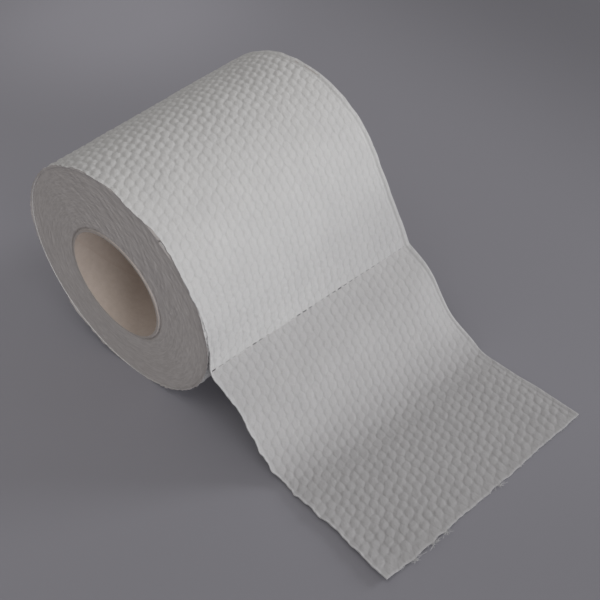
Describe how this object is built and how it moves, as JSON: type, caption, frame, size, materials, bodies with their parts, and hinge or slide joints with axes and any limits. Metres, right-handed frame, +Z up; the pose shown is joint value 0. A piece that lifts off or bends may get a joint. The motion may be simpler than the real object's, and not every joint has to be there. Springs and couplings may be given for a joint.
{
  "type": "toilet paper roll",
  "caption": "Roll of embossed white toilet paper on a cardboard core, lying on its side with a perforated sheet pulled loose and draped in front.",
  "frame": {"origin": "centre of the core's bore, half way along its length", "axes": "+Y along the core, +X towards the loose end of the sheet, +Z up with the roll lying on its side"},
  "size_m": [0.1942, 0.1082, 0.096],
  "materials": {
    "cardboard": "matt, lightly fibrous",
    "tissue": "soft matt embossed tissue"
  },
  "bodies": {
    "root": {"core_tube": "cardboard", "tissue_paper": "tissue"}
  },
  "joints": []
}
